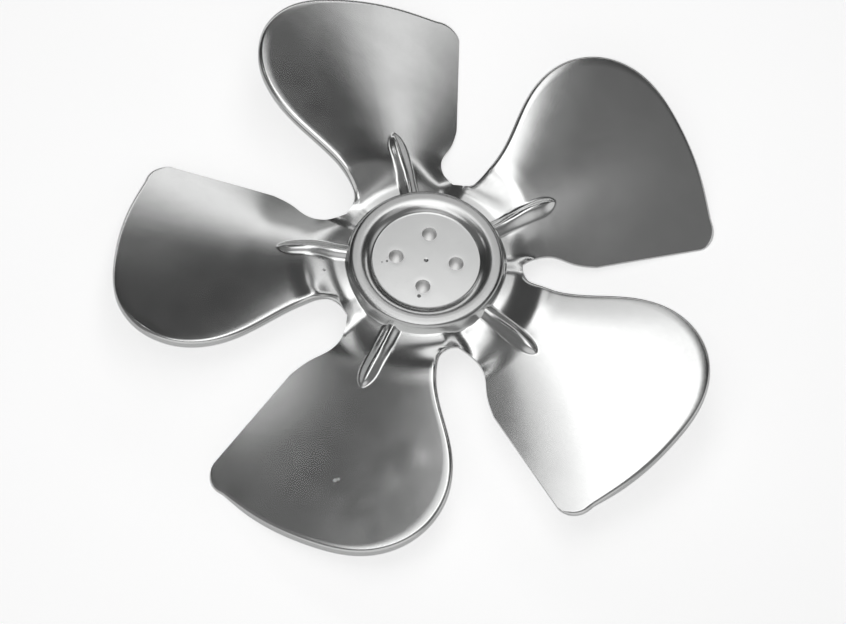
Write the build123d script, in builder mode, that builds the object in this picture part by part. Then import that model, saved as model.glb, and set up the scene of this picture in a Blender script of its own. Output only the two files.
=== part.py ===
from build123d import *
from math import atan2, cos, degrees, hypot, radians, sin, tan
import os

# Axial fan impeller: one pressed aluminium sheet with five blades, riveted to a turned hub boss.
# Millimetres and degrees. +Z is the fan's axis, and the origin is the mouth of the shaft bore.

# Wheel
blade_count = 5
sheet = 1.2
web_height = 14.0
rib_angle = 36.0

# Hub boss, behind the dish
bore_diameter = 6.35
bore_depth = 12.5
boss_diameter = 17.0
flange_diameter = 36.0
flange_thickness = 2.4
boss_chamfer = 0.8
flange_chamfer = 0.4
running_clearance = 0.05

# Pressed dish and ring, as heights of the sheet's top above the web
floor_height = 3.4
crown_height = 5.8
floor_radius = 22.2
crown_inner_radius = 27.1
crown_outer_radius = 31.6
ring_base_radius = 33.8
ring_bend = 1.9
wall_below_web = 3.0
punch_mark_diameter = 1.6
punch_mark_depth = 0.4
punch_tip_diameter = 0.2

# Blade planform to the lip's outer wall, seen along the axis with the rib along +X
crease_angle = 43.5
throat_radius = 40.5
lipped_edge = [(35.8, 23.2), (41.2, 23.8), (56.9, 32.4), (74.2, 45.6), (93.4, 51.8),
               (113.2, 45.8), (124.3, 32.2), (128.6, 10.0), (127.1, -13.8), (122.3, -33.0)]
outer_corner = (112.4, -41.8)
corner_bulge = (119.5, -39.6)
belly_start = (66.9, -29.8)
notch_edge = [(58.0, -24.6), (51.4, -19.2), (44.1, -17.4)]

# Blade form: pitch across the chord, camber, and the height at the creases
pitch_angle = 16.5
root_pitch_share = 0.25
pitch_start_radius = 36.0
pitch_full_radius = 52.0
blade_camber = [3.4, 3.4, 3.4, 1.2, 3.4]
camber_centre = 3.5
camber_half_angle = 28.0
root_camber_share = 0.3
crease_run = 12.0
crease_fade_start = 42.0
crease_fade_end = 55.0

# Each blade is bent a little out of true: pitch, flap and swing, in degrees, and the fourth is flatter
blade_pitch_set = [2.1, 5.6, -5.1, -6.3, -6.7]
blade_flap_set = [0.9, 4.7, -3.9, -9.1, 3.8]
blade_swing_set = [-1.0, 1.1, 1.4, -0.5, -1.4]
set_start_radius = 38.0
set_full_radius = 58.0
flap_pivot_radius = 43.0

# Rolled lip along the long edge and the tip, shallower towards both its ends
lip_depth = 4.0
lip_end_depth = 2.3
lip_bend = 1.7
lip_fade_start = 12.0
lip_fade_length = 20.0
throat_fade_length = 12.0

# Stiffening rib, pressed up along the middle of the blade
rib_height = 2.3
rib_half_width = 4.2
rib_length = 61.5
rib_nose = 8.0

# Rivets
rivet_count = 4
rivet_circle = 25.0
rivet_head_diameter = 6.2
rivet_head_height = 0.55
rivet_shank_diameter = 3.2
rivet_tail_diameter = 5.0
rivet_tail_height = 1.2

# Grub screw in the boss
screw_diameter = 5.0
screw_height = 5.5
screw_point_gap = 0.4
screw_recess = 0.3
screw_point_chamfer = 0.8
screw_socket = 2.5
screw_socket_depth = 2.2

# Worked out from the values above
floor_top = web_height + floor_height
floor_under = floor_top - sheet
crown_top = web_height + crown_height
step = 360 / blade_count
sector_overlap = 2.0
rib_spread = 14.0
crease_back_angle = crease_angle - step
wheel_radius = max(hypot(a, b) for a, b in lipped_edge)
face_radius = wheel_radius + 4 * sheet
sheet_inner_radius = ring_base_radius - sheet
rivet_grip = sheet + flange_thickness
prism_height = 60.0
edge_points = 40
surface_tolerance = 0.05
half_columns = 22
rib_rows = 27
rib_margin = 1.0
row_growth = 1.18
blank_thickness = 2 * lip_depth

# Corners of the lip's hollow where it runs out past the blade's plain edges and its root
hollow_past_tip = (wheel_radius, -wheel_radius / 2)
hollow_past_belly = (sheet_inner_radius / 2, -wheel_radius / 2)
hollow_behind_root = (sheet_inner_radius / 3, 0)
hollow_past_throat = (sheet_inner_radius / 3, sheet_inner_radius / 2)


def ease(value, start, end):
    """0 before start, 1 after end, and smooth in between."""
    share = min(max((value - start) / (end - start), 0.0), 1.0)
    return share * share * (3 - 2 * share)


def swing(radius, blade):
    """How far a blade is turned about the axis at this radius."""
    return blade_swing_set[blade] * ease(radius, set_start_radius, set_full_radius)


def sheet_top(radius, angle, blade):
    """Height of the sheet's top face, at an angle from the blade's rib."""
    along = radius * cos(radians(angle))
    across = radius * sin(radians(angle))
    pitched = ease(radius, pitch_start_radius, pitch_full_radius)
    plane = tan(radians(pitch_angle)) * across * (root_pitch_share + (1 - root_pitch_share) * pitched)
    bow = blade_camber[blade] * (1 - ((angle - camber_centre) / camber_half_angle) ** 2)
    bow *= root_camber_share + (1 - root_camber_share) * pitched
    near_crease = ease(crease_angle - angle, 0, crease_run) * ease(angle - crease_back_angle, 0, crease_run)
    kept = 1 - (1 - near_crease) * (1 - ease(radius, crease_fade_start, crease_fade_end))
    bent = ease(radius, set_start_radius, set_full_radius)
    bent_pitch = tan(radians(blade_pitch_set[blade])) * across
    bent_flap = tan(radians(blade_flap_set[blade])) * (along - flap_pivot_radius)
    return web_height + (plane + bow + bent * (bent_pitch + bent_flap)) * kept


def in_plan(point, blade):
    """A planform point of one blade, turned to its place on the wheel."""
    radius = hypot(*point)
    angle = degrees(atan2(point[1], point[0])) + rib_angle + blade * step + swing(radius, blade)
    return (radius * cos(radians(angle)), radius * sin(radians(angle)))


def polar(radius, angle, blade):
    """A point at this radius and angle from the blade's rib, with no swing."""
    turned = radians(angle + rib_angle + blade * step)
    return (radius * cos(turned), radius * sin(turned))


def rib_rise(radius, across):
    """How far the rib stands above the blade at this radius and distance from its middle."""
    width = rib_half_width
    if radius > rib_length - rib_nose:
        spent = (radius - rib_length + rib_nose) / rib_nose
        width = rib_half_width * (max(1 - spent ** 2, 0.0)) ** 0.5
    if width <= 0 or abs(across) >= width:
        return 0.0
    height = rib_height * width / rib_half_width
    return height * cos(radians(90 * across / width)) ** 2


def sector_angles():
    """Angles a little past one blade's sector, close together over the rib."""
    back = crease_back_angle - sector_overlap
    front = crease_angle + sector_overlap
    angles = []
    for column in range(-half_columns, half_columns + 1):
        share = abs(column) / half_columns
        reach = back if column < 0 else front
        near = rib_spread if column > 0 else -rib_spread
        angles.append(near * share + (reach - near) * share ** 3)
    return angles


def sector_radii():
    """Radii of the rows of points: even up to the rib's nose, then further and further apart."""
    start = sheet_inner_radius - sheet
    gap = (rib_length + rib_margin - start) / rib_rows
    radii = [start + gap * row for row in range(rib_rows + 1)]
    while radii[-1] < face_radius:
        gap *= row_growth
        radii.append(radii[-1] + gap)
    return radii


def no_drop(radius, angle):
    """The sheet's top face itself."""
    return 0.0


def sheet_drop(radius, angle):
    """The sheet's underside."""
    return sheet


def lip_drop(radius, angle):
    """How far below the top face the lip ends."""
    along = radius * cos(radians(angle))
    across = radius * sin(radians(angle))
    from_corner = hypot(along - outer_corner[0], across - outer_corner[1]) - lip_fade_start
    share = ease(from_corner, 0, lip_fade_length) * ease(radius - throat_radius, 0, throat_fade_length)
    return lip_end_depth + (lip_depth - lip_end_depth) * share


def face_of(blade, drop):
    """A face over one blade's sector that lies as far below the sheet's top as drop says."""
    rows = []
    for radius in sector_radii():
        row = []
        for angle in sector_angles():
            local = angle - swing(radius, blade)
            across = radius * radians(local)
            height = sheet_top(radius, local, blade) + rib_rise(radius, across)
            row.append(Vector(*polar(radius, angle, blade), height - drop(radius, local)))
        rows.append(row)
    return Face.make_surface_from_array_of_points(rows, tol=surface_tolerance, min_deg=3, max_deg=3)


def long_edge(blade):
    """The lipped edge, from the crease round the throat, the long side and the tip."""
    start = polar(throat_radius, crease_angle, blade)
    return Spline([start] + [in_plan(point, blade) for point in lipped_edge], mode=Mode.PRIVATE)


def lip_inside(blade):
    """Points along the inner wall of the lip."""
    outline = long_edge(blade)
    points = []
    for place in range(edge_points + 1):
        tangent = outline % (place / edge_points)
        inward = Vector(tangent.Y, -tangent.X, 0)
        points.append(outline @ (place / edge_points) + inward * sheet)
    return points


def planform(blade):
    """One blade's outline, with its share of the web inside the throats."""
    corner = in_plan(outer_corner, blade)
    belly = in_plan(belly_start, blade)
    crease_back = polar(throat_radius, crease_back_angle, blade)
    middle = (crease_angle + crease_back_angle) / 2
    ends = [polar(sheet_inner_radius, angle, blade) for angle in (crease_back_angle, middle, crease_angle)]
    outline = long_edge(blade)
    with BuildSketch() as plan:
        with BuildLine():
            add(outline)
            ThreePointArc(outline @ 1, in_plan(corner_bulge, blade), corner)
            Line(corner, belly)
            Spline([belly] + [in_plan(point, blade) for point in notch_edge] + [crease_back])
            Line(crease_back, ends[0])
            ThreePointArc(*ends)
            Line(ends[-1], outline @ 0)
        make_face()
    return plan.sketch


def pocket_plan(blade):
    """The hollow behind the lip: inside the lipped edge by the sheet, and past every plain edge."""
    inside = lip_inside(blade)
    corners = (hollow_past_tip, hollow_past_belly, hollow_behind_root, hollow_past_throat)
    with BuildSketch() as plan:
        with BuildLine():
            Spline(inside)
            Polyline([inside[-1]] + [in_plan(corner, blade) for corner in corners] + [inside[0]])
        make_face()
    return plan.sketch


def build_blade(blade, underside):
    """One blade with its share of the web, its rib and its rolled lip, as a solid."""
    outline = planform(blade)
    hollow = pocket_plan(blade)
    over = face_of(blade, no_drop)
    lip_rim = face_of(blade, lip_drop)
    with BuildPart() as pocket:
        extrude(underside, amount=prism_height, dir=(0, 0, -1))
        extrude(hollow, amount=prism_height, both=True, mode=Mode.INTERSECT)
    with BuildPart() as pressing:
        extrude(over, amount=blank_thickness, dir=(0, 0, -1))
        extrude(outline, amount=prism_height, both=True, mode=Mode.INTERSECT)
        extrude(lip_rim, amount=prism_height, dir=(0, 0, -1), mode=Mode.SUBTRACT)
        add(pocket.part, mode=Mode.SUBTRACT)
        lipped = pressing.edges().sort_by(Edge.length)[-4:].sort_by(Axis.Z)[-1]
        fillet(lipped, radius=lip_bend)
    return pressing.part


undersides = [face_of(blade, sheet_drop) for blade in range(blade_count)]
blades = [build_blade(blade, undersides[blade]) for blade in range(blade_count)]

# Dish and ring, one section of even thickness turned about the axis
with BuildPart() as dish:
    with BuildSketch(Plane.XZ) as section:
        with BuildLine() as skin:
            Polyline((0, floor_top), (floor_radius, floor_top), (crown_inner_radius, crown_top),
                     (crown_outer_radius, crown_top), (ring_base_radius, web_height - wall_below_web))
            fillet(skin.vertices().sort_by(Axis.X)[1:-1], radius=ring_bend)
            offset(amount=sheet, side=Side.RIGHT)
        make_face()
    revolve(axis=Axis.Z)
    for underside in undersides:
        extrude(underside, amount=prism_height, dir=(0, 0, -1), mode=Mode.SUBTRACT)

with BuildPart() as blade_wheel:
    add(dish.part)
    add(blades)
    with PolarLocations(rivet_circle / 2, rivet_count):
        Cylinder(rivet_shank_diameter / 2 + running_clearance, prism_height, mode=Mode.SUBTRACT)
    with Locations((0, 0, floor_top)):
        Cone(punch_tip_diameter / 2, punch_mark_diameter / 2, punch_mark_depth, mode=Mode.SUBTRACT,
             align=(Align.CENTER, Align.CENTER, Align.MAX))
blade_wheel.part.label = "blade_wheel"

# Hub boss: a turned boss with a flange that seats under the dish floor
with BuildPart() as hub_boss:
    with BuildSketch():
        Circle(boss_diameter / 2)
    extrude(amount=floor_under)
    with BuildSketch(Plane.XY.offset(floor_under)):
        Circle(flange_diameter / 2)
    extrude(amount=-flange_thickness)
    rear_rim = hub_boss.edges().filter_by(GeomType.CIRCLE).sort_by(Axis.Z)[0]
    chamfer(rear_rim, length=boss_chamfer)
    flange_rims = hub_boss.edges().filter_by(GeomType.CIRCLE).group_by(Axis.Z)[-1]
    chamfer(flange_rims, length=flange_chamfer)
    with BuildSketch():
        Circle(bore_diameter / 2)
    extrude(amount=bore_depth, mode=Mode.SUBTRACT)
    with Locations(Location((0, 0, floor_under))):
        with PolarLocations(rivet_circle / 2, rivet_count):
            Cylinder(rivet_shank_diameter / 2 + running_clearance, prism_height, mode=Mode.SUBTRACT)
    with BuildSketch(Plane(origin=(0, 0, screw_height), z_dir=(1, 0, 0))):
        Circle(screw_diameter / 2 + running_clearance)
    extrude(amount=boss_diameter, mode=Mode.SUBTRACT)
hub_boss.part.label = "hub_boss"

# Rivets: a low domed head in the dish, a shank through both pieces and an upset tail behind the flange
head_radius = rivet_head_diameter / 2
dome_radius = (head_radius ** 2 + rivet_head_height ** 2) / (2 * rivet_head_height)
with BuildPart() as rivet_head:
    with Locations((0, 0, floor_top + rivet_head_height - dome_radius)):
        Sphere(dome_radius)
    split(bisect_by=Plane.XY.offset(floor_top), keep=Keep.TOP)

with BuildPart() as rivets:
    with PolarLocations(rivet_circle / 2, rivet_count):
        add(rivet_head.part)
    with BuildSketch(Plane.XY.offset(floor_top)):
        with PolarLocations(rivet_circle / 2, rivet_count):
            Circle(rivet_shank_diameter / 2)
    extrude(amount=-rivet_grip)
    with BuildSketch(Plane.XY.offset(floor_top - rivet_grip)):
        with PolarLocations(rivet_circle / 2, rivet_count):
            Circle(rivet_tail_diameter / 2)
    extrude(amount=-rivet_tail_height)
rivets.part.label = "rivets"

# Grub screw, standing just clear of the bore with its socket flush with the boss
with BuildPart() as grub_screw:
    screw_start = bore_diameter / 2 + screw_point_gap
    with BuildSketch(Plane(origin=(screw_start, 0, screw_height), z_dir=(1, 0, 0))):
        Circle(screw_diameter / 2)
    extrude(amount=boss_diameter / 2 - screw_start - screw_recess)
    chamfer(grub_screw.faces().sort_by(Axis.X)[0].edges(), length=screw_point_chamfer)
    with BuildSketch(Plane(grub_screw.faces().sort_by(Axis.X)[-1])):
        RegularPolygon(screw_socket / 2, 6, major_radius=False)
    extrude(amount=-screw_socket_depth, mode=Mode.SUBTRACT)
grub_screw.part.label = "grub_screw"

os.makedirs("parts", exist_ok=True)
export_step(blade_wheel.part, "parts/blade_wheel.step")
export_step(hub_boss.part, "parts/hub_boss.step")
export_step(rivets.part, "parts/rivets.step")
export_step(grub_screw.part, "parts/grub_screw.step")
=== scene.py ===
import bmesh
import bpy
import numpy as np
from bisect import bisect_left
from math import atan2, cos, degrees, exp, hypot, pi, radians, sin, tan
from mathutils import Matrix, Vector


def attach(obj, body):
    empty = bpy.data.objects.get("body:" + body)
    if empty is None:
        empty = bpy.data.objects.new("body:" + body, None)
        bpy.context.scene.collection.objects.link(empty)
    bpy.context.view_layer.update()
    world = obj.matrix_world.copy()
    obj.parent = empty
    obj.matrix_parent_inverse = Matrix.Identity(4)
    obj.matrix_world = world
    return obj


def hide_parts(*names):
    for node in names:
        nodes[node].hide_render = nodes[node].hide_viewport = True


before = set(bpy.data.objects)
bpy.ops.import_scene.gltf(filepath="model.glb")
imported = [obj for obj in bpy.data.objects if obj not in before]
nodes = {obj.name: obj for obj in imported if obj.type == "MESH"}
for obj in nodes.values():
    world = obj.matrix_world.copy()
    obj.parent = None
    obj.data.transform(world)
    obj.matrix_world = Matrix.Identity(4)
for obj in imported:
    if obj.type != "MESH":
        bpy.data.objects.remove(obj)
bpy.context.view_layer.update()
scene = bpy.context.scene


# ---------------------------------------------------------------- shader helpers

def new_tree(owner):
    """An owner's node tree, emptied."""
    owner.use_nodes = True
    tree = owner.node_tree
    tree.nodes.clear()
    return tree


def add(tree, kind, sockets=None, **settings):
    """One shader node. A socket takes either a value or another node's output."""
    node = tree.nodes.new(kind)
    for name, value in settings.items():
        setattr(node, name, value)
    for socket, source in (sockets or {}).items():
        target = node.inputs[socket]
        if hasattr(source, "is_output"):
            tree.links.new(source, target)
        else:
            target.default_value = source
    return node


def maths(tree, operation, first, second, third=0.0):
    """One arithmetic step on numbers or sockets."""
    return add(tree, "ShaderNodeMath", {0: first, 1: second, 2: third}, operation=operation).outputs[0]


def ramp(tree, value, start, end, low=0.0, high=1.0):
    """low at start, high at end, and a smooth change in between."""
    sockets = {0: value, 1: start, 2: end, 3: low, 4: high}
    return add(tree, "ShaderNodeMapRange", sockets, interpolation_type="SMOOTHSTEP").outputs[0]


def noise(tree, place, scale, detail, rough, distortion=0.0):
    """A soft random pattern from 0 to 1."""
    sockets = {"Vector": place, "Scale": scale, "Detail": detail, "Roughness": rough,
               "Distortion": distortion}
    return add(tree, "ShaderNodeTexNoise", sockets).outputs["Fac"]


# ---------------------------------------------------------------- camera, in metres

camera_place = Vector((0.001325, -0.469051, 0.853626))
camera_right = Vector((0.992546, 0.107604, 0.057214)).normalized()
camera_forward = Vector((0.0, 0.469472, -0.882948)).normalized()
camera_up = camera_right.cross(camera_forward)
lens_millimetres = 98.381
sensor_millimetres = 36.0

camera_data = bpy.data.cameras.new("camera")
camera_data.lens = lens_millimetres
camera_data.sensor_width = sensor_millimetres
camera = bpy.data.objects.new("camera", camera_data)
scene.collection.objects.link(camera)
turn = Matrix((camera_right, camera_up, -camera_forward)).transposed().to_4x4()
camera.matrix_world = Matrix.Translation(camera_place) @ turn
scene.camera = camera

# ---------------------------------------------------------------- light

scene.view_settings.view_transform = "Standard"

# The studio round the fan: a dim room with one bright sloping wall on its far side. Each span gives where
# a light starts and where it is full, as a direction's part along an axis or as a slope seen from the fan.
sky_fill = 0.036
near_fill = 0.1
near_fill_span = (0.35, 0.0)
wall_strength = 1.15
wall_tilt = 0.29
wall_foot_span = (0.39, 0.46)
wall_top_span = (0.70, 0.59)
wall_right_span = (1.35, 1.1)
near_glow = 0.5
near_glow_span = (-0.5, -0.75)
right_glow = 0.5
right_glow_span = (0.78, 0.92)
least_depth = 0.02

# Lamp panels facing down: span along x, span along y, and brightness
panel_height = 0.4
panels = {
    "key_panel": ((-0.06, 0.085), (-0.075, 0.19), 1.4),
    "left_panel": ((-0.132, -0.06), (-0.075, 0.10), 0.72),
    "near_panel": ((-0.22, 0.06), (-0.20, -0.075), 1.2),
    "side_panel": ((-0.322, -0.277), (0.065, 0.11), 2.3),
    "right_panel": ((0.085, 0.24), (-0.08, 0.05), 0.3),
    "far_panel": ((-0.075, 0.085), (0.19, 0.34), 0.68),
}


def bright_wall(tree, across, away, up):
    """The sloping wall's light: a band of slopes on the far side, ending at the right."""
    depth = maths(tree, "MAXIMUM", away, least_depth)
    rise = maths(tree, "DIVIDE", up, depth)
    slant = maths(tree, "DIVIDE", across, depth)
    band = maths(tree, "MULTIPLY_ADD", slant, -wall_tilt, rise)
    lit = maths(tree, "MULTIPLY", ramp(tree, band, *wall_foot_span), ramp(tree, band, *wall_top_span))
    return maths(tree, "MULTIPLY", lit, ramp(tree, slant, *wall_right_span, 0.0, wall_strength))


def studio():
    """The world: the studio's light, and plain white where the camera sees past the floor."""
    world = bpy.data.worlds.new("studio")
    scene.world = world
    tree = new_tree(world)
    towards = add(tree, "ShaderNodeTexCoord").outputs["Generated"]
    across, away, up = add(tree, "ShaderNodeSeparateXYZ", {0: towards}).outputs
    wall = bright_wall(tree, across, away, up)
    fill = ramp(tree, away, *near_fill_span, sky_fill, sky_fill + near_fill)
    near_low = ramp(tree, away, *near_glow_span, 0.0, near_glow)
    right_low = ramp(tree, across, *right_glow_span, 0.0, right_glow)
    light = maths(tree, "ADD", maths(tree, "ADD", wall, fill), maths(tree, "ADD", near_low, right_low))
    path = add(tree, "ShaderNodeLightPath")
    seen = add(tree, "ShaderNodeMix", {0: path.outputs["Is Camera Ray"], 2: light, 3: 1.0}).outputs[0]
    background = add(tree, "ShaderNodeBackground", {"Color": (1, 1, 1, 1), "Strength": seen})
    add(tree, "ShaderNodeOutputWorld", {"Surface": background.outputs[0]})


def softbox(name, x_span, y_span, brightness):
    """A lamp panel facing down, so bright that white paper filling its view shows its brightness."""
    data = bpy.data.lights.new(name, "AREA")
    data.shape = "RECTANGLE"
    data.size = x_span[1] - x_span[0]
    data.size_y = y_span[1] - y_span[0]
    data.energy = brightness * pi * data.size * data.size_y
    lamp = bpy.data.objects.new(name, data)
    lamp.location = (sum(x_span) / 2, sum(y_span) / 2, panel_height)
    lamp.visible_camera = False
    scene.collection.objects.link(lamp)


studio()
for name, (x_span, y_span, brightness) in panels.items():
    softbox(name, x_span, y_span, brightness)

# ---------------------------------------------------------------- floor

# The plane that the wheel rests on, tilted because its blades are bent, and a small gap under it
paper_slope = (0.01321, 0.03954)
paper_height = -0.00183
paper_gap = 0.0001
paper_size = 6.0
paper_tone = 0.86
paper_glow_seen = 0.635
paper_glow_mirrored = 0.12


def paper():
    """White paper that also glows for the camera, and faintly in the metal."""
    finish = bpy.data.materials.new("paper")
    tree = new_tree(finish)
    path = add(tree, "ShaderNodeLightPath")
    mirrored = maths(tree, "MULTIPLY", path.outputs["Is Glossy Ray"], paper_glow_mirrored)
    glow = maths(tree, "MULTIPLY_ADD", path.outputs["Is Camera Ray"], paper_glow_seen, mirrored)
    diffuse = add(tree, "ShaderNodeBsdfDiffuse", {"Color": (paper_tone, paper_tone, paper_tone, 1)})
    emission = add(tree, "ShaderNodeEmission", {"Color": (1, 1, 1, 1), "Strength": glow})
    both = add(tree, "ShaderNodeAddShader", {0: diffuse.outputs[0], 1: emission.outputs[0]})
    add(tree, "ShaderNodeOutputMaterial", {"Surface": both.outputs[0]})
    return finish


bpy.ops.object.select_all(action="DESELECT")
bpy.ops.mesh.primitive_grid_add(x_subdivisions=2, y_subdivisions=2, size=paper_size)
floor = bpy.context.object
floor.name = "floor"
for vertex in floor.data.vertices:
    x, y = vertex.co.x, vertex.co.y
    vertex.co.z = paper_height - paper_gap + paper_slope[0] * x + paper_slope[1] * y
floor.data.materials.append(paper())

# ---------------------------------------------------------------- the pressed wheel's form, in millimetres

# The blades are counted anticlockwise as seen from above, from the one whose rib lies at rib_angle
blade_count = 5
sheet = 1.2
web_height = 14.0
rib_angle = 36.0

# Dish and ring: heights are above the web
floor_height = 3.4
crown_height = 5.8
wall_below_web = 3.0
floor_radius = 22.7
crown_inner_radius = 25.3
crown_outer_radius = 32.1
ring_base_radius = 34.3
floor_bend = 0.8
dish_bend = 8.0
crown_bend = 1.9
ring_fillet = 1.1
punch_mark_radius = 0.8
punch_mark_depth = 0.4
rivet_count = 4
rivet_circle_radius = 12.5
rivet_dimple_depth = 0.05
rivet_dimple_radius = 3.6

# Planform of a blade whose rib lies along x: the lipped edge from its root round to the tip, the arc on to
# the outer corner, and the plain edge from its root out to where it runs straight to that corner
crease_angle = 43.5
throat_radius = 40.5
lipped_edge = [(35.8, 23.2), (41.2, 23.8), (56.9, 32.4), (74.2, 45.6), (93.4, 51.8),
               (113.2, 45.8), (124.3, 32.2), (128.6, 10.0), (127.1, -13.8), (122.3, -33.0)]
outer_corner = (112.4, -41.8)
corner_bulge = (119.5, -39.6)
notch_edge = [(44.1, -17.4), (51.4, -19.2), (58.0, -24.6)]
belly_start = (66.9, -29.8)

# A blade's pitch and camber, and the creases between blades
pitch_angle = 16.5
root_pitch_share = 0.25
pitch_start_radius = 36.0
pitch_full_radius = 52.0
blade_camber = [3.4, 3.4, 3.4, 0.35, 3.4]
camber_centre = 3.5
camber_half_angle = 28.0
root_camber_share = 0.3
crease_run = 7.0
crease_fade_start = 42.0
crease_fade_end = 55.0

# How far each blade is bent out of true, in degrees
blade_pitch_set = [2.1, 5.6, -5.1, -6.3, -6.7]
blade_flap_set = [0.9, 4.7, -3.9, -9.1, 3.8]
blade_swing_set = [-1.0, 1.1, 1.4, -0.5, -1.4]
set_start_radius = 38.0
set_full_radius = 58.0
flap_pivot_radius = 43.0

# Rolled lip and stiffening rib
lip_depth = 4.0
lip_bend = 1.7
lip_fade_start = 8.0
lip_fade_length = 20.0
throat_fade_length = 12.0
rib_height = 2.3
rib_half_width = 4.2
rib_length = 61.5
rib_nose = 8.0

# Shallow raised knocks: blade, place along and across the blade, radius and height. A knock ends where the
# square of the distance over the radius reaches the cut-off.
knocks = [(1, 45.0, -18.0, 3.0, 0.4), (2, 43.8, 22.5, 3.5, 0.4),
          (3, 93.1, 23.8, 5.0, 0.2), (3, 82.1, 31.0, 4.5, 0.18)]
knock_cutoff = 6

step = 360 / blade_count
crease_back_angle = crease_angle - step
ring_wall_slope = (crown_height + wall_below_web) / (ring_base_radius - crown_outer_radius)

# The ring and the web meet in a fillet between these radii
ring_alone_radius = crown_outer_radius - 1.5
web_alone_radius = ring_base_radius + 4


def ease(value, start, end):
    """0 before start, 1 after end, and smooth in between."""
    share = min(max((value - start) / (end - start), 0.0), 1.0)
    return share * share * (3 - 2 * share)


def fold(away):
    """Share of a blade's form reached at an angle away from its crease, with a firm fold at the line."""
    return min(max(away / crease_run, 0.0), 1.0)


def swing(radius, blade):
    """How far a blade is bent sideways at a radius, in degrees."""
    return blade_swing_set[blade] * ease(radius, throat_radius, set_full_radius)


def sheet_top(radius, angle, blade):
    """Height of a bare blade's top face, at an angle from its rib."""
    along = radius * cos(radians(angle))
    across = radius * sin(radians(angle))
    pitched = ease(radius, pitch_start_radius, pitch_full_radius)
    plane = tan(radians(pitch_angle)) * across * (root_pitch_share + (1 - root_pitch_share) * pitched)
    bow = blade_camber[blade] * (1 - ((angle - camber_centre) / camber_half_angle) ** 2)
    bow *= root_camber_share + (1 - root_camber_share) * pitched
    near_crease = fold(crease_angle - angle) * fold(angle - crease_back_angle)
    kept = 1 - (1 - near_crease) * (1 - ease(radius, crease_fade_start, crease_fade_end))
    bent = ease(radius, set_start_radius, set_full_radius)
    bent_pitch = tan(radians(blade_pitch_set[blade])) * across
    bent_flap = tan(radians(blade_flap_set[blade])) * (along - flap_pivot_radius)
    return web_height + (plane + bow + bent * (bent_pitch + bent_flap)) * kept


def rib_rise(radius, across):
    """Height that the rib adds: a rounded bar that runs out to a round nose."""
    width = rib_half_width
    if radius > rib_length - rib_nose:
        spent = (radius - rib_length + rib_nose) / rib_nose
        width = rib_half_width * max(1 - spent ** 2, 0.0) ** 0.5
    if width <= 0 or abs(across) >= width:
        return 0.0
    return rib_height * (width / rib_half_width) * cos(radians(90 * across / width)) ** 2


def knock_rise(along, across, blade):
    """Height that the knocks add, each a small bell that is left off where it has faded out."""
    rise = 0.0
    for which, centre_along, centre_across, radius, height in knocks:
        if which == blade:
            away = ((along - centre_along) ** 2 + (across - centre_across) ** 2) / radius ** 2
            if away < knock_cutoff:
                rise += height * exp(-away)
    return rise


def ring_profile(pieces=6):
    """Radius and height of points along the section of dish and ring, with its bends rounded."""
    corners = [(0.0, floor_height), (floor_radius, floor_height), (crown_inner_radius, crown_height),
               (crown_outer_radius, crown_height), (ring_base_radius, -wall_below_web)]
    corners = [Vector(corner) for corner in corners]
    points = [corners[0]]
    for i, bend in enumerate((floor_bend, dish_bend, crown_bend), start=1):
        here = corners[i]
        before = (corners[i - 1] - here).normalized()
        after = (corners[i + 1] - here).normalized()
        half = before.angle(after) / 2
        reach = bend / tan(half)
        centre = here + (before + after).normalized() * (bend / sin(half))
        start = here + before * reach - centre
        end = here + after * reach - centre
        points += [centre + start.lerp(end, k / pieces).normalized() * bend for k in range(pieces + 1)]
    return points + [corners[-1]]


ring_section = ring_profile()


def ring_height(radius):
    """Height of the ring's section above the web, falling on along its wall's slope outside."""
    for (r0, z0), (r1, z1) in zip(ring_section[:-1], ring_section[1:]):
        if r0 <= radius <= r1:
            return z0 + (z1 - z0) * (radius - r0) / max(r1 - r0, 1e-9)
    return -wall_below_web - ring_wall_slope * (radius - ring_base_radius)


def smooth_max(a, b, reach):
    """The higher of two heights, with a fillet where they cross."""
    gap = abs(a - b)
    return max(a, b) + max(reach - gap, 0.0) ** 2 / (4 * reach)


def form(radius, angle, blade):
    """Height of the finished top face, at an angle from where the blade's rib would be without its swing."""
    if radius < ring_alone_radius:
        return web_height + ring_height(radius)
    local = angle - swing(radius, blade)
    skin = sheet_top(radius, local, blade) + rib_rise(radius, radius * radians(local))
    skin += knock_rise(radius * cos(radians(local)), radius * sin(radians(local)), blade)
    if radius < web_alone_radius:
        return smooth_max(web_height + ring_height(radius), skin, ring_fillet)
    return skin


# ---------------------------------------------------------------- the planform

spline_pieces = 24
arc_pieces = 16


def turned(radius, angle):
    """A point of the plan from its radius and its angle in degrees."""
    return Vector((radius * cos(radians(angle)), radius * sin(radians(angle))))


def in_plan(point, blade):
    """A planform point of one blade, turned to its place on the wheel."""
    radius = hypot(*point)
    angle = degrees(atan2(point[1], point[0])) + rib_angle + blade * step + swing(radius, blade)
    return turned(radius, angle)


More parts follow.
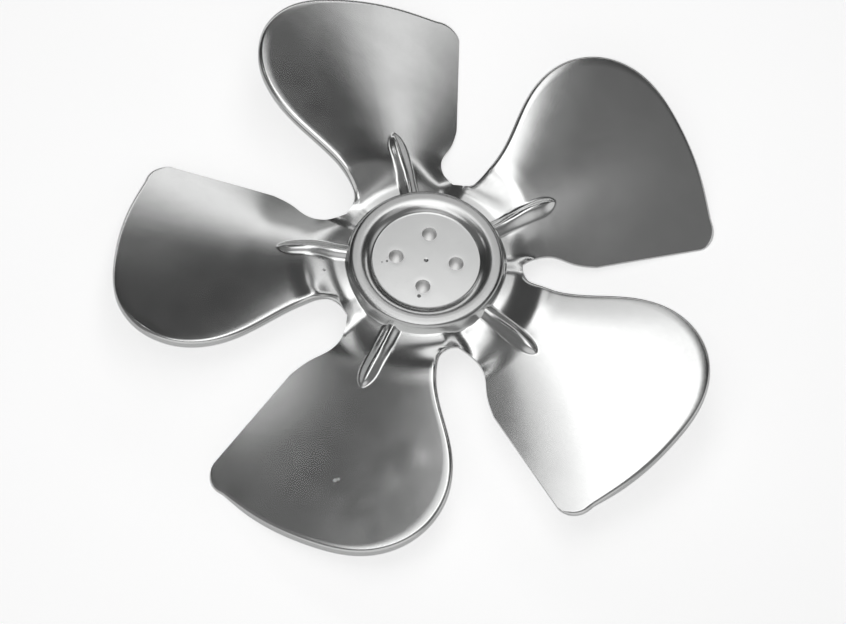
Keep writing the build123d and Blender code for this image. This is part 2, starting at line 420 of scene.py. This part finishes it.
def smooth_curve(points):
    """Points along a natural cubic spline through the given points."""
    # bend is the curve's second derivative at each point, and none at its two ends
    known = np.array([tuple(p) for p in points])
    gaps = np.linalg.norm(np.diff(known, axis=0), axis=1)
    count = len(known)
    system = np.eye(count)
    right = np.zeros((count, 2))
    for i in range(1, count - 1):
        system[i, i - 1:i + 2] = (gaps[i - 1], 2 * (gaps[i - 1] + gaps[i]), gaps[i])
        right[i] = 6 * ((known[i + 1] - known[i]) / gaps[i] - (known[i] - known[i - 1]) / gaps[i - 1])
    bend = np.linalg.solve(system, right)
    curve = []
    for i, gap in enumerate(gaps):
        for k in range(spline_pieces):
            u = k / spline_pieces * gap
            v = gap - u
            curve.append(Vector((bend[i] * v ** 3 + bend[i + 1] * u ** 3) / (6 * gap)
                                + (known[i] / gap - bend[i] * gap / 6) * v
                                + (known[i + 1] / gap - bend[i + 1] * gap / 6) * u))
    curve.append(Vector(known[-1]))
    return curve


def arc_through(start, middle, end):
    """Points along the arc through three points, without its start."""
    # As complex numbers, turning about the centre is a product
    a, b, c = (complex(*p) for p in (start, middle, end))
    w = (c - a) / (b - a)
    centre = (b - a) * (w - abs(w) ** 2) / (2j * w.imag) + a
    first, last = (a - centre), (c - centre)
    sweep = atan2((last / first).imag, (last / first).real)
    points = []
    for k in range(1, arc_pieces + 1):
        spoke = first * complex(cos(sweep * k / arc_pieces), sin(sweep * k / arc_pieces)) + centre
        points.append(Vector((spoke.real, spoke.imag)))
    return points


def even_points(curve, shares):
    """Points at shares of a polyline's length, each with its direction."""
    lengths = [0.0]
    for a, b in zip(curve[:-1], curve[1:]):
        lengths.append(lengths[-1] + (b - a).length)
    places = []
    for share in shares:
        reach = share * lengths[-1]
        i = min(max(bisect_left(lengths, reach), 1), len(curve) - 1)
        part = (reach - lengths[i - 1]) / max(lengths[i] - lengths[i - 1], 1e-9)
        places.append((curve[i - 1].lerp(curve[i], part), (curve[i] - curve[i - 1]).normalized()))
    return places


def blade_edges(blade, shares):
    """The lipped edge and the plain edge, each from its crease out to the corner."""
    tip = [in_plan(point, blade) for point in lipped_edge]
    start = turned(throat_radius, crease_angle + rib_angle + blade * step)
    corner = in_plan(outer_corner, blade)
    lipped = smooth_curve([start] + tip) + arc_through(tip[-1], in_plan(corner_bulge, blade), corner)
    back = turned(throat_radius, crease_back_angle + rib_angle + blade * step)
    notch = [in_plan(point, blade) for point in notch_edge]
    plain = smooth_curve([back] + notch + [in_plan(belly_start, blade)]) + [corner]
    return even_points(lipped, shares), even_points(plain, shares)


# ---------------------------------------------------------------- the pressed wheel's mesh, in millimetres

# Columns run across a blade and rows run out along it. The columns between the two of rib_columns are packed
# over the rib, within rib_band to each side of it. The limits keep them in the blade where it gets narrow.
columns = 50
rows = 110
rib_columns = (12, 36)
rib_band = 5.8
rib_share_limits = (0.3, 0.6)
widest_rib_share = 0.2

# Shares of the way out along a blade: where the root's arc has straightened, where the columns have left the
# root's spacing, and where the sheet's thickness has opened from the seam at each end
arc_hold = 0.3
root_spacing_hold = 0.08
seam_share = 0.03

# The lipped edge stays this far inside the planform, and the lip's bend has this many faces
edge_inset = 0.05
bend_steps = 5

# The hub's rings of points: the middle ones, then where each band starts and the gap between its rings. The
# rivets' dimples count in the dimple zone only.
middle_radii = [0.0, 0.8, 1.1, 2.5, 5.0]
hub_bands = [(7.5, 0.9), (18.0, 0.8), (21.0, 0.4), (29.6, 0.6), (30.8, 0.22), (34.9, 0.6)]
dimple_zone = (6.0, 19.0)

# Between these radii the underside follows the ring's slope, which fades out on the web
slope_start_radius = floor_radius - 3
slope_fade_radius = 34.5
slope_end_radius = 37.0
slope_reach = 0.05

# In metres, as the finished mesh is
millimetre = 0.001
weld_distance = 0.000004
sliver_length = 0.000002

smooth_below = radians(38)


def column_shares(rib_share, half_band):
    """Shares across a section from the plain edge to the lipped one, close together over the rib."""
    marks = [0.0, rib_share - half_band, rib_share + half_band, 1.0]
    return [float(share) for share in np.interp(range(columns + 1), [0, *rib_columns, columns], marks)]


root_shares = column_shares(-crease_back_angle / step, degrees(rib_band / throat_radius) / step)


def shares_between(back, edge, blade):
    """The column shares for a section between two points of the plan."""
    width = (back - edge).length
    if width < rib_band:
        return root_shares
    middle = back.lerp(edge, 0.5)
    axis = turned(1.0, rib_angle + blade * step + swing(middle.length, blade))
    beyond = Vector((-axis.y, axis.x))
    least, most = rib_share_limits
    rib_share = min(max(back.dot(beyond) / (back - edge).dot(beyond), least), most)
    return column_shares(rib_share, min(rib_band / width, widest_rib_share))


def height_at(place, blade):
    """Height of the top face at a point of the plan."""
    angle = degrees(atan2(place.y, place.x)) - rib_angle - blade * step
    angle = (angle + 180) % 360 - 180
    return form(place.length, angle, blade)


def on_sheet(place, blade, drop=0.0):
    """The point of the sheet over a point of the plan, a drop below its top face."""
    return Vector((*place, height_at(place, blade) - drop))


def root_bow(blade):
    """How far the root's arc stands out from its chord at each column."""
    first = rib_angle + blade * step + crease_back_angle
    arc = [turned(throat_radius, first + step * share) for share in root_shares]
    return [point - arc[0].lerp(arc[-1], share) for point, share in zip(arc, root_shares)]


def lip_formed(edge, corner):
    """Share of the rolled lip's depth at a point of the lipped edge, none at the corner and the throat."""
    formed = ease((edge - corner).length, lip_fade_start, lip_fade_start + lip_fade_length)
    return formed * ease(edge.length - throat_radius, 0, throat_fade_length)


def lip_points(edge, inner, inward, bend, depth, blade):
    """Where the lip's bend leaves the top face, and the points round the bend and down to the lip's foot."""
    # The bend is an arc that starts along the sloping face and ends upright at the edge
    rise = height_at(edge, blade) - height_at(edge + inward * lip_bend, blade)
    lean = atan2(rise, lip_bend)
    brow = edge + inward * bend * (1 + sin(lean))
    bend_height = height_at(brow, blade) - bend * cos(lean)
    points = []
    for k in range(1, bend_steps + 1):
        turn_left = (pi / 2 + lean) * (1 - k / bend_steps)
        place = edge + inward * (bend * (1 - cos(turn_left)))
        points.append(Vector((*place, bend_height + bend * sin(turn_left))))
    edge_height = height_at(edge, blade)
    inner_height = height_at(inner, blade)
    points.append(Vector((*edge, edge_height - depth)))
    points.append(Vector((*inner, min(edge_height, inner_height) - depth)))
    return brow, points


def blade_section(share, edge, along, back, corner, bow, blade):
    """One closed section across a blade: its top face, its lip and its underside."""
    inward = Vector((-along.y, along.x))
    if inward.dot(back - edge) < 0:
        inward = -inward
    depth = sheet + (lip_depth - sheet) * lip_formed(edge, corner)
    opened = ease(share, 0, seam_share) * ease(1 - share, 0, seam_share)
    edge = edge + inward * edge_inset * opened
    inner = edge + inward * (sheet * opened)
    brow, lip = lip_points(edge, inner, inward, lip_bend * opened, depth, blade)
    hold = 1 - ease(share, 0, arc_hold)
    begun = ease(share, 0, root_spacing_hold)
    top, under = [], []
    for root_share, crossing, bowed in zip(root_shares, shares_between(back, edge, blade), bow):
        part = root_share + (crossing - root_share) * begun
        top.append(on_sheet(back.lerp(brow, part) + bowed * hold, blade))
        under.append(on_sheet(back.lerp(inner, part) + bowed * hold, blade, sheet))
    return top + lip + under[::-1]


def blade_sections(blade):
    """The sections of one blade from its root to its corner."""
    shares = [row / rows for row in range(rows + 1)]
    lipped, plain = blade_edges(blade, shares)
    corner = in_plan(outer_corner, blade)
    bow = root_bow(blade)
    sections = []
    for share, (edge, along), (back, _) in zip(shares, lipped, plain):
        sections.append(blade_section(share, edge, along, back, corner, bow, blade))
    return sections


def hub_radii():
    """Radii of the rings of points over the dish, the ring and the web."""
    radii = list(middle_radii)
    ends = [start for start, _ in hub_bands[1:]] + [throat_radius]
    for (start, gap), end in zip(hub_bands, ends):
        count = round((end - start) / gap)
        radii += [start + (end - start) * k / count for k in range(count)]
    return radii + [throat_radius]


rivet_places = [turned(rivet_circle_radius, 360 / rivet_count * k) for k in range(rivet_count)]


def hub_height(radius, place, local, blade):
    """Height of the hub's top face, with the punch mark and the dimples round the rivets."""
    height = form(radius, local, blade)
    height -= punch_mark_depth * max(1 - radius / punch_mark_radius, 0.0)
    if dimple_zone[0] < radius < dimple_zone[1]:
        for rivet in rivet_places:
            height -= rivet_dimple_depth * exp(-((place - rivet).length / rivet_dimple_radius) ** 4)
    return height


def ring_slope(radius, local, blade):
    """How steeply the top face rises outwards near the ring."""
    if not slope_start_radius < radius < slope_end_radius:
        return 0.0
    rise = form(radius + slope_reach, local, blade) - form(radius - slope_reach, local, blade)
    return rise / (2 * slope_reach) * (1 - ease(radius, slope_fade_radius, slope_end_radius))


def hub_rings():
    """Rings of top points over the hub, and of underside points one sheet's thickness from them."""
    tops, unders = [], []
    for radius in hub_radii():
        top, under = [], []
        for k in range(blade_count * columns):
            blade = k // columns
            local = crease_back_angle + step * root_shares[k % columns]
            angle = local + rib_angle + blade * step
            place = turned(radius, angle)
            height = hub_height(radius, place, local, blade)
            slope = ring_slope(radius, local, blade)
            drop = sheet / (1 + slope * slope) ** 0.5
            top.append(Vector((*place, height)))
            under.append(Vector((*turned(radius + slope * drop, angle), height - drop)))
        tops.append(top)
        unders.append(under)
    return tops, unders


def skin_over(mesh, rings, inside_out=False):
    """Faces that join each closed row of points to the next."""
    rings = [[mesh.verts.new(point * millimetre) for point in ring] for ring in rings]
    for first, second in zip(rings[:-1], rings[1:]):
        for k in range(len(first)):
            n = (k + 1) % len(first)
            quad = [first[k], second[k], second[n], first[n]]
            mesh.faces.new(quad[::-1] if inside_out else quad)


def pressed_wheel():
    """The whole pressing as one closed mesh: the hub's two faces, then each blade's sections."""
    mesh = bmesh.new()
    tops, unders = hub_rings()
    skin_over(mesh, tops)
    skin_over(mesh, unders, inside_out=True)
    for blade in range(blade_count):
        skin_over(mesh, blade_sections(blade))
    bmesh.ops.remove_doubles(mesh, verts=mesh.verts, dist=weld_distance)
    bmesh.ops.dissolve_degenerate(mesh, edges=mesh.edges, dist=sliver_length)
    bmesh.ops.recalc_face_normals(mesh, faces=mesh.faces)
    data = bpy.data.meshes.new("pressed_wheel")
    mesh.to_mesh(data)
    mesh.free()
    wheel = bpy.data.objects.new("pressed_wheel", data)
    scene.collection.objects.link(wheel)
    return wheel


wheel = pressed_wheel()
bpy.ops.object.select_all(action="DESELECT")
wheel.select_set(True)
bpy.context.view_layer.objects.active = wheel
bpy.ops.object.shade_smooth_by_angle(angle=smooth_below)
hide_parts("blade_wheel")
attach(wheel, "root")

# ---------------------------------------------------------------- finishes, in metres

cloud_noise = {"scale": 45.0, "detail": 4.0, "rough": 0.55, "distortion": 0.3}
grain_noise = {"scale": 600.0, "detail": 2.0, "rough": 0.5}
polish_noise = {"scale": 1400.0, "detail": 3.0, "rough": 0.6}
wave_noise = {"scale": 38.0, "detail": 2.0, "rough": 0.45}
noise_span = (0.3, 0.7)
grain_span = (0.25, 0.75)
cloud_roughness = 0.015
polish_roughness = 0.01
wave_height = 0.00009

# The hub is darker than the blades inside hub_span, and darkest on the crown between its two spans
hub_span = (0.031, 0.033)
hub_tone = 0.84
crown_inner_span = (0.0265, 0.0285)
crown_outer_span = (0.0328, 0.0318)
crown_tone = 0.8

# Specks of dirt, the one at the middle painted shade in the punch mark, and scuffs, as places seen along the
# axis: x, y, radius, and the tone or the added roughness
dirt_and_shade_specks = [(-0.01604, -0.00274, 0.0006, 0.25), (-0.01804, -0.0035, 0.0005, 0.6),
               (-0.00111, -0.01725, 0.0010, 0.2), (0.0, 0.0, 0.0008, 0.35)]
scuffs = [(-0.0253, -0.0988, 0.0010, 0.35), (-0.0240, -0.0983, 0.0008, 0.3),
          (-0.0413, -0.0104, 0.0008, 0.45)]
speck_core = 0.6
scuff_core = 0.4


def away_from(tree, flat, x, y):
    """Distance from a point on the wheel seen along its axis."""
    sockets = {0: flat, 1: (x, y, 0.0)}
    return add(tree, "ShaderNodeVectorMath", sockets, operation="DISTANCE").outputs["Value"]


def hub_and_speck_tone(tree, flat, tone):
    """The sheet's tone, darker over the hub and most on its crown, with the specks of dirt and the painted
    shade in the punch mark.
    """
    radius = away_from(tree, flat, 0.0, 0.0)
    from_inside = ramp(tree, radius, *crown_inner_span)
    crown = maths(tree, "MULTIPLY", from_inside, ramp(tree, radius, *crown_outer_span))
    tone = maths(tree, "MULTIPLY", tone, ramp(tree, radius, *hub_span, hub_tone, 1.0))
    tone = maths(tree, "MULTIPLY", tone, ramp(tree, crown, 0.0, 1.0, 1.0, crown_tone))
    # Each speck darkens the tone round its place: dirt, and at the middle painted shade in the punch mark
    for x, y, size, darkness in dirt_and_shade_specks:
        speck = ramp(tree, away_from(tree, flat, x, y), speck_core * size, size, darkness, 1.0)
        tone = maths(tree, "MULTIPLY", tone, speck)
    return tone


def scuffed(tree, flat, rough):
    """The sheet's roughness with its scuffs."""
    for x, y, size, added in scuffs:
        scuff = ramp(tree, away_from(tree, flat, x, y), scuff_core * size, size, added, 0.0)
        rough = maths(tree, "ADD", rough, scuff)
    return rough


def metal(name, colour, roughness, grain, cloud, worn_and_shaded=False):
    """Bare metal with a fine grain, cloudy patches in its polish and faint waves in its surface."""
    finish = bpy.data.materials.new(name)
    tree = new_tree(finish)
    place = add(tree, "ShaderNodeTexCoord").outputs["Object"]
    clouds = noise(tree, place, **cloud_noise)
    cloudy = ramp(tree, clouds, *noise_span, 1.0 - cloud, 1.0)
    grainy = ramp(tree, noise(tree, place, **grain_noise), *grain_span, 1.0 - grain, 1.0)
    tone = maths(tree, "MULTIPLY", cloudy, grainy)
    patchy = ramp(tree, clouds, *noise_span, roughness - cloud_roughness, roughness + cloud_roughness)
    polish = noise(tree, place, **polish_noise)
    rough = maths(tree, "ADD", patchy, ramp(tree, polish, *noise_span, -polish_roughness, polish_roughness))
    if worn_and_shaded:
        seen_flat = {0: place, 1: (1.0, 1.0, 0.0)}
        flat = add(tree, "ShaderNodeVectorMath", seen_flat, operation="MULTIPLY").outputs[0]
        tone = hub_and_speck_tone(tree, flat, tone)
        rough = scuffed(tree, flat, rough)
    tinted = add(tree, "ShaderNodeVectorMath", {0: colour, "Scale": tone}, operation="SCALE").outputs[0]
    waves = {"Strength": 1.0, "Distance": wave_height, "Height": noise(tree, place, **wave_noise)}
    bump = add(tree, "ShaderNodeBump", waves).outputs[0]
    surface = {"Base Color": tinted, "Metallic": 1.0, "Roughness": rough, "Normal": bump}
    shader = add(tree, "ShaderNodeBsdfPrincipled", surface)
    add(tree, "ShaderNodeOutputMaterial", {"Surface": shader.outputs[0]})
    return finish


finishes = {
    "blade_wheel": metal("mill_aluminium", (0.9, 0.905, 0.9), 0.21, grain=0.02, cloud=0.035, worn_and_shaded=True),
    "hub_boss": metal("turned_aluminium", (0.78, 0.78, 0.77), 0.3, grain=0.04, cloud=0.05),
    "rivets": metal("rivet_aluminium", (0.93, 0.93, 0.92), 0.42, grain=0.04, cloud=0.05),
    "grub_screw": metal("black_oxide", (0.12, 0.12, 0.13), 0.4, grain=0.1, cloud=0.1),
}
wheel.data.materials.append(finishes["blade_wheel"])
for name, finish in finishes.items():
    nodes[name].data.materials.clear()
    nodes[name].data.materials.append(finish)
